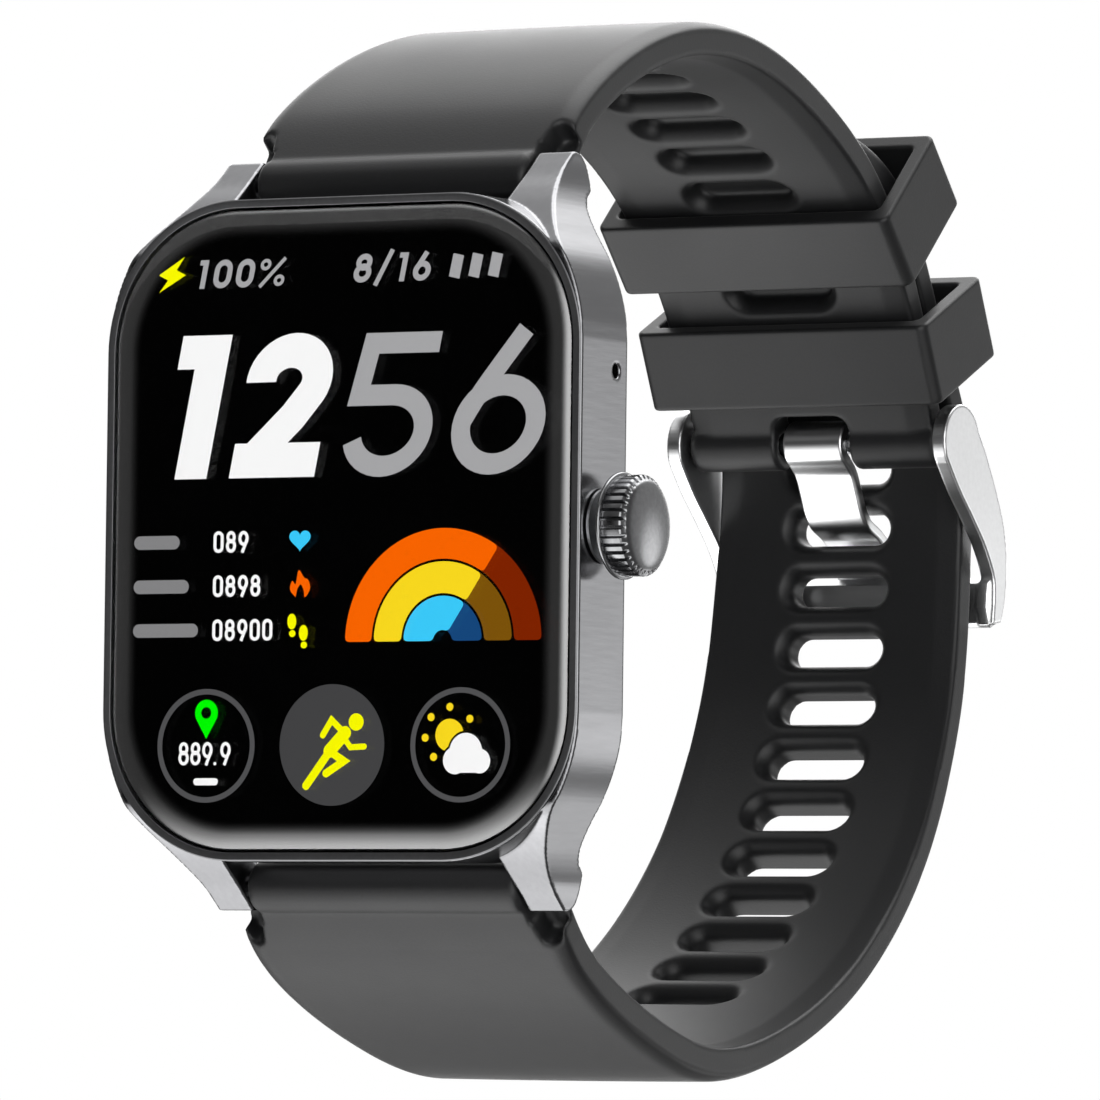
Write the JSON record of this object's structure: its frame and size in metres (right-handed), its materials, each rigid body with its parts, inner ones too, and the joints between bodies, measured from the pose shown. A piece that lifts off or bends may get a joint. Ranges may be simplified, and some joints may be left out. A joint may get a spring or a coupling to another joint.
{
  "type": "smartwatch",
  "caption": "Square-faced smartwatch on a buckled silicone strap with turning push crown, curved cover glass and pin buckle.",
  "frame": {"origin": "centre of the sensor lens where it meets the skin", "axes": "+Y points out of the back towards the wrist, +X to the crown, +Z to the half of the strap with the buckle; the screen faces -Y"},
  "size_m": [0.0422, 0.0793, 0.0759],
  "materials": {
    "case_metal": "anodised gunmetal grey, satin with polished front edge",
    "crown_metal": "anodised gunmetal grey, polished dome",
    "small_steel": "turned stainless steel",
    "buckle_steel": "polished stainless steel with fine brushed edges",
    "cover_glass": "clear, polished, curved at its edges",
    "display_black": "black panel with a lit watch face",
    "silicone": "matte charcoal silicone, soft touch",
    "rear_plastic": "fine-textured black moulding",
    "lens_glass": "smoked, polished",
    "gasket_rubber": "matte black",
    "inner_plastic": "moulded",
    "cell_foil": "laminated foil pouch",
    "shield_can": "tin plated",
    "circuit_board": "green solder mask",
    "copper_flex": "copper on amber film",
    "contact_gold": "gold plated, polished",
    "magnet_nickel": "nickel plated",
    "motor_tungsten": "sintered tungsten alloy"
  },
  "bodies": {
    "case": {"midframe": "case_metal", "cover_glass": "cover_glass", "display_gasket": "gasket_rubber", "display_panel": "display_black", "display_flex": "copper_flex", "inner_bracket": "inner_plastic", "battery": "cell_foil", "main_board": "circuit_board", "processor_shield": "shield_can", "bluetooth_antenna": "copper_flex", "speaker": "inner_plastic", "microphone": "shield_can", "mic_seal": "gasket_rubber", "vibration_motor": "shield_can", "rear_cover": "rear_plastic", "rear_seal": "gasket_rubber", "sensor_lens": "lens_glass", "sensor_board": "circuit_board", "light_baffle": "inner_plastic", "charge_contact_left": "contact_gold", "charge_contact_right": "contact_gold", "charge_magnet_left": "magnet_nickel", "charge_magnet_right": "magnet_nickel", "rear_screw_1": "small_steel", "rear_screw_2": "small_steel", "rear_screw_3": "small_steel", "rear_screw_4": "small_steel", "crown_tube": "small_steel", "crown_switch": "shield_can"},
    "motor_rotor": {"motor_weight": "motor_tungsten"},
    "encoder": {"crown_encoder": "circuit_board"},
    "crown": {"crown_cap": "crown_metal", "crown_stem": "small_steel", "crown_clip": "small_steel"},
    "upper_strap": {"strap_upper": "silicone", "spring_bar_upper": "small_steel"},
    "lower_strap": {"strap_lower": "silicone", "spring_bar_lower": "small_steel"},
    "upper_keeper": {"keeper_upper": "silicone"},
    "lower_keeper": {"keeper_lower": "silicone"},
    "buckle": {"buckle_frame": "buckle_steel", "buckle_pin": "small_steel"},
    "tongue": {"buckle_tongue": "buckle_steel"},
    "tip_upper_right": {"bar_tip_upper_right": "small_steel"},
    "tip_upper_left": {"bar_tip_upper_left": "small_steel"},
    "tip_lower_right": {"bar_tip_lower_right": "small_steel"},
    "tip_lower_left": {"bar_tip_lower_left": "small_steel"}
  },
  "joints": [
    {"name": "crown_spin", "type": "hinge", "parent": "case", "child": "encoder", "pos_m": [0.0195, -0.0076, 0], "axis": [1, 0, 0], "continuous": true},
    {"name": "crown_push", "type": "slide", "parent": "encoder", "child": "crown", "axis": [-1, 0, 0], "range_m": [0, 0.0005], "stiffness_N_per_m": 2500, "springref_m": -0.0002},
    {"name": "motor_spin", "type": "hinge", "parent": "case", "child": "motor_rotor", "pos_m": [-0.0158, -0.0068, -0.0115], "axis": [1, 0, 0], "continuous": true},
    {"name": "upper_strap_pivot", "type": "hinge", "parent": "case", "child": "upper_strap", "pos_m": [0, -0.003, 0.0247], "axis": [1, 0, 0], "range_deg": [0, 70], "deforming": ["strap_upper"]},
    {"name": "lower_strap_pivot", "type": "hinge", "parent": "case", "child": "lower_strap", "pos_m": [0, -0.003, -0.0247], "axis": [1, 0, 0], "range_deg": [-70, 0], "deforming": ["strap_lower"]},
    {"name": "upper_keeper_slide", "type": "hinge", "parent": "upper_strap", "child": "upper_keeper", "pos_m": [0, 0.0299, 0.0061], "axis": [1, 0, 0], "range_deg": [-2, 14]},
    {"name": "lower_keeper_slide", "type": "hinge", "parent": "upper_strap", "child": "lower_keeper", "pos_m": [0, -0.007, -0.0143], "axis": [1, 0, 0], "range_deg": [-0.7, 1.2]},
    {"name": "buckle_swing", "type": "hinge", "parent": "upper_strap", "child": "buckle", "pos_m": [0, 0.0596, 0.0099], "axis": [1, 0, 0], "range_deg": [0, 65]},
    {"name": "tongue_swing", "type": "hinge", "parent": "buckle", "child": "tongue", "pos_m": [0, 0.0596, 0.0099], "axis": [1, 0, 0], "range_deg": [0, 35]},
    {"name": "bar_tip_upper_right_push", "type": "slide", "parent": "upper_strap", "child": "tip_upper_right", "axis": [-1, 0, 0], "range_m": [0, 0.0013], "stiffness_N_per_m": 300, "springref_m": -0.0005},
    {"name": "bar_tip_upper_left_push", "type": "slide", "parent": "upper_strap", "child": "tip_upper_left", "axis": [1, 0, 0], "range_m": [0, 0.0013], "stiffness_N_per_m": 300, "springref_m": -0.0005},
    {"name": "bar_tip_lower_right_push", "type": "slide", "parent": "lower_strap", "child": "tip_lower_right", "axis": [-1, 0, 0], "range_m": [0, 0.0013], "stiffness_N_per_m": 300, "springref_m": -0.0005},
    {"name": "bar_tip_lower_left_push", "type": "slide", "parent": "lower_strap", "child": "tip_lower_left", "axis": [1, 0, 0], "range_m": [0, 0.0013], "stiffness_N_per_m": 300, "springref_m": -0.0005}
  ]
}
